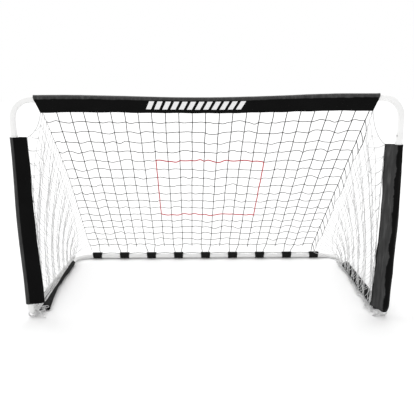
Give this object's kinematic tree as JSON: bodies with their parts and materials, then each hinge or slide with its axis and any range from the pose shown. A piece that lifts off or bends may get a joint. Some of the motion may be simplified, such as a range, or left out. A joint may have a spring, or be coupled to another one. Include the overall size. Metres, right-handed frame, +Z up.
{
  "type": "hockey goal net",
  "caption": "Free-standing hockey goal with a plug-together tube frame, snap buttons, fabric sleeves, sloping back net with a target rectangle and pleated side nets.",
  "frame": {"origin": "on the floor, in the middle of the goal's footprint", "axes": "+X to the right seen from the front, +Y from the goal mouth to the back, +Z up"},
  "size_m": [1.8405, 0.9476, 1.1066],
  "materials": {
    "frame_paint": "white powder coat, semi-gloss",
    "sleeve_fabric": "black woven polyester",
    "strap_fabric": "black hook-and-loop strap",
    "back_twine": "black braided twine",
    "side_twine": "white braided twine",
    "target_twine": "red braided twine",
    "button_steel": "zinc-plated steel, dull",
    "spring_steel": "spring steel strip"
  },
  "bodies": {
    "frame": {"crossbar_left_tube": "frame_paint", "crossbar_right_tube": "frame_paint", "rear_bar_left_tube": "frame_paint", "rear_bar_right_tube": "frame_paint", "left_upright_tube": "frame_paint", "left_side_rail_tube": "frame_paint", "left_top_corner": "frame_paint", "left_front_foot": "frame_paint", "left_rear_corner": "frame_paint", "right_upright_tube": "frame_paint", "right_side_rail_tube": "frame_paint", "right_top_corner": "frame_paint", "right_front_foot": "frame_paint", "right_rear_corner": "frame_paint", "crossbar_sleeve": "sleeve_fabric", "left_upright_sleeve": "sleeve_fabric", "left_side_rail_sleeve": "sleeve_fabric", "right_upright_sleeve": "sleeve_fabric", "right_side_rail_sleeve": "sleeve_fabric", "rear_strap_1": "strap_fabric", "rear_strap_2": "strap_fabric", "rear_strap_3": "strap_fabric", "rear_strap_4": "strap_fabric", "rear_strap_5": "strap_fabric", "rear_strap_6": "strap_fabric", "rear_strap_7": "strap_fabric", "rear_strap_8": "strap_fabric", "rear_strap_9": "strap_fabric", "back_net": "back_twine", "left_side_net": "side_twine", "right_side_net": "side_twine", "target_cord": "target_twine", "net_border_cord": "back_twine", "left_foot_tie": "side_twine", "right_foot_tie": "side_twine", "left_crossbar_spring": "spring_steel", "left_upright_top_spring": "spring_steel", "left_upright_foot_spring": "spring_steel", "left_rail_front_spring": "spring_steel", "left_rail_rear_spring": "spring_steel", "left_rear_bar_spring": "spring_steel", "right_crossbar_spring": "spring_steel", "right_upright_top_spring": "spring_steel", "right_upright_foot_spring": "spring_steel", "right_rail_front_spring": "spring_steel", "right_rail_rear_spring": "spring_steel", "right_rear_bar_spring": "spring_steel"},
    "left_crossbar_button": {"left_crossbar_button": "button_steel"},
    "left_upright_top_button": {"left_upright_top_button": "button_steel"},
    "left_upright_foot_button": {"left_upright_foot_button": "button_steel"},
    "left_rail_front_button": {"left_rail_front_button": "button_steel"},
    "left_rail_rear_button": {"left_rail_rear_button": "button_steel"},
    "left_rear_bar_button": {"left_rear_bar_button": "button_steel"},
    "right_crossbar_button": {"right_crossbar_button": "button_steel"},
    "right_upright_top_button": {"right_upright_top_button": "button_steel"},
    "right_upright_foot_button": {"right_upright_foot_button": "button_steel"},
    "right_rail_front_button": {"right_rail_front_button": "button_steel"},
    "right_rail_rear_button": {"right_rail_rear_button": "button_steel"},
    "right_rear_bar_button": {"right_rear_bar_button": "button_steel"}
  },
  "joints": [
    {"name": "left_crossbar_press", "type": "slide", "parent": "frame", "child": "left_crossbar_button", "axis": [0, 0, 1], "range_m": [0, 0.005], "stiffness_N_per_m": 1500, "springref_m": -0.002, "deforming": ["left_crossbar_spring"]},
    {"name": "left_upright_top_press", "type": "slide", "parent": "frame", "child": "left_upright_top_button", "axis": [-1, 0, 0], "range_m": [0, 0.005], "stiffness_N_per_m": 1500, "springref_m": -0.002, "deforming": ["left_upright_top_spring"]},
    {"name": "left_upright_foot_press", "type": "slide", "parent": "frame", "child": "left_upright_foot_button", "axis": [-1, 0, 0], "range_m": [0, 0.005], "stiffness_N_per_m": 1500, "springref_m": -0.002, "deforming": ["left_upright_foot_spring"]},
    {"name": "left_rail_front_press", "type": "slide", "parent": "frame", "child": "left_rail_front_button", "axis": [0, 0, -1], "range_m": [0, 0.005], "stiffness_N_per_m": 1500, "springref_m": -0.002, "deforming": ["left_rail_front_spring"]},
    {"name": "left_rail_rear_press", "type": "slide", "parent": "frame", "child": "left_rail_rear_button", "axis": [0, 0, -1], "range_m": [0, 0.005], "stiffness_N_per_m": 1500, "springref_m": -0.002, "deforming": ["left_rail_rear_spring"]},
    {"name": "left_rear_bar_press", "type": "slide", "parent": "frame", "child": "left_rear_bar_button", "axis": [0, -0.5, -0.866], "range_m": [0, 0.005], "stiffness_N_per_m": 1500, "springref_m": -0.002, "deforming": ["left_rear_bar_spring"]},
    {"name": "right_crossbar_press", "type": "slide", "parent": "frame", "child": "right_crossbar_button", "axis": [0, 0, 1], "range_m": [0, 0.005], "stiffness_N_per_m": 1500, "springref_m": -0.002, "deforming": ["right_crossbar_spring"]},
    {"name": "right_upright_top_press", "type": "slide", "parent": "frame", "child": "right_upright_top_button", "axis": [0.866, 0.5, 0], "range_m": [0, 0.005], "stiffness_N_per_m": 1500, "springref_m": -0.002, "deforming": ["right_upright_top_spring"]},
    {"name": "right_upright_foot_press", "type": "slide", "parent": "frame", "child": "right_upright_foot_button", "axis": [1, 0, 0], "range_m": [0, 0.005], "stiffness_N_per_m": 1500, "springref_m": -0.002, "deforming": ["right_upright_foot_spring"]},
    {"name": "right_rail_front_press", "type": "slide", "parent": "frame", "child": "right_rail_front_button", "axis": [0, 0, -1], "range_m": [0, 0.005], "stiffness_N_per_m": 1500, "springref_m": -0.002, "deforming": ["right_rail_front_spring"]},
    {"name": "right_rail_rear_press", "type": "slide", "parent": "frame", "child": "right_rail_rear_button", "axis": [0, 0, -1], "range_m": [0, 0.005], "stiffness_N_per_m": 1500, "springref_m": -0.002, "deforming": ["right_rail_rear_spring"]},
    {"name": "right_rear_bar_press", "type": "slide", "parent": "frame", "child": "right_rear_bar_button", "axis": [0, -0.5, -0.866], "range_m": [0, 0.005], "stiffness_N_per_m": 1500, "springref_m": -0.002, "deforming": ["right_rear_bar_spring"]}
  ]
}
